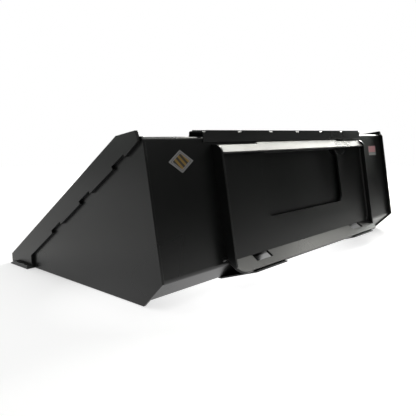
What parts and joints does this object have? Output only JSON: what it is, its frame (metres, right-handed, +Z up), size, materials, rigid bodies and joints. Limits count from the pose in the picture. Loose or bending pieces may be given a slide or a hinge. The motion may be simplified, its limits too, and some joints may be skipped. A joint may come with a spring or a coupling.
{
  "type": "skid steer bucket",
  "caption": "Low welded steel loader bucket with bevelled cutting edge, notched side cutters, toothed step on the top lip and a leaning quick-attach coupler with pin slots on its back.",
  "frame": {"origin": "on the ground under the middle of the bucket's overall box, at the height of the cutting edge's underside", "axes": "+X to the operator's right, +Y forward out of the bucket's mouth, +Z up"},
  "size_m": [1.8892, 1.022, 0.5726],
  "materials": {
    "black_powder_coat": "satin black powder coat, fine orange peel",
    "silver_vinyl": "printed vinyl, satin",
    "striped_vinyl": "printed vinyl, satin"
  },
  "bodies": {
    "root": {"shell_plate": "black_powder_coat", "cutting_edge": "black_powder_coat", "step_tread": "black_powder_coat", "step_weld": "black_powder_coat", "coupler_plate": "black_powder_coat", "coupler_upper_lip": "black_powder_coat", "coupler_lower_lip": "black_powder_coat", "coupler_lower_lip_weld": "black_powder_coat", "sticker_left": "silver_vinyl", "sticker_right": "striped_vinyl", "side_plate_left": "black_powder_coat", "side_plate_right": "black_powder_coat", "side_cutter_left": "black_powder_coat", "side_cutter_right": "black_powder_coat", "side_weld_left": "black_powder_coat", "side_weld_right": "black_powder_coat", "coupler_gusset_left": "black_powder_coat", "coupler_gusset_right": "black_powder_coat", "coupler_weld_left": "black_powder_coat", "coupler_weld_right": "black_powder_coat", "coupler_spacer_left": "black_powder_coat", "coupler_spacer_right": "black_powder_coat", "lip_brace_left": "black_powder_coat", "lip_brace_right": "black_powder_coat"}
  },
  "joints": []
}
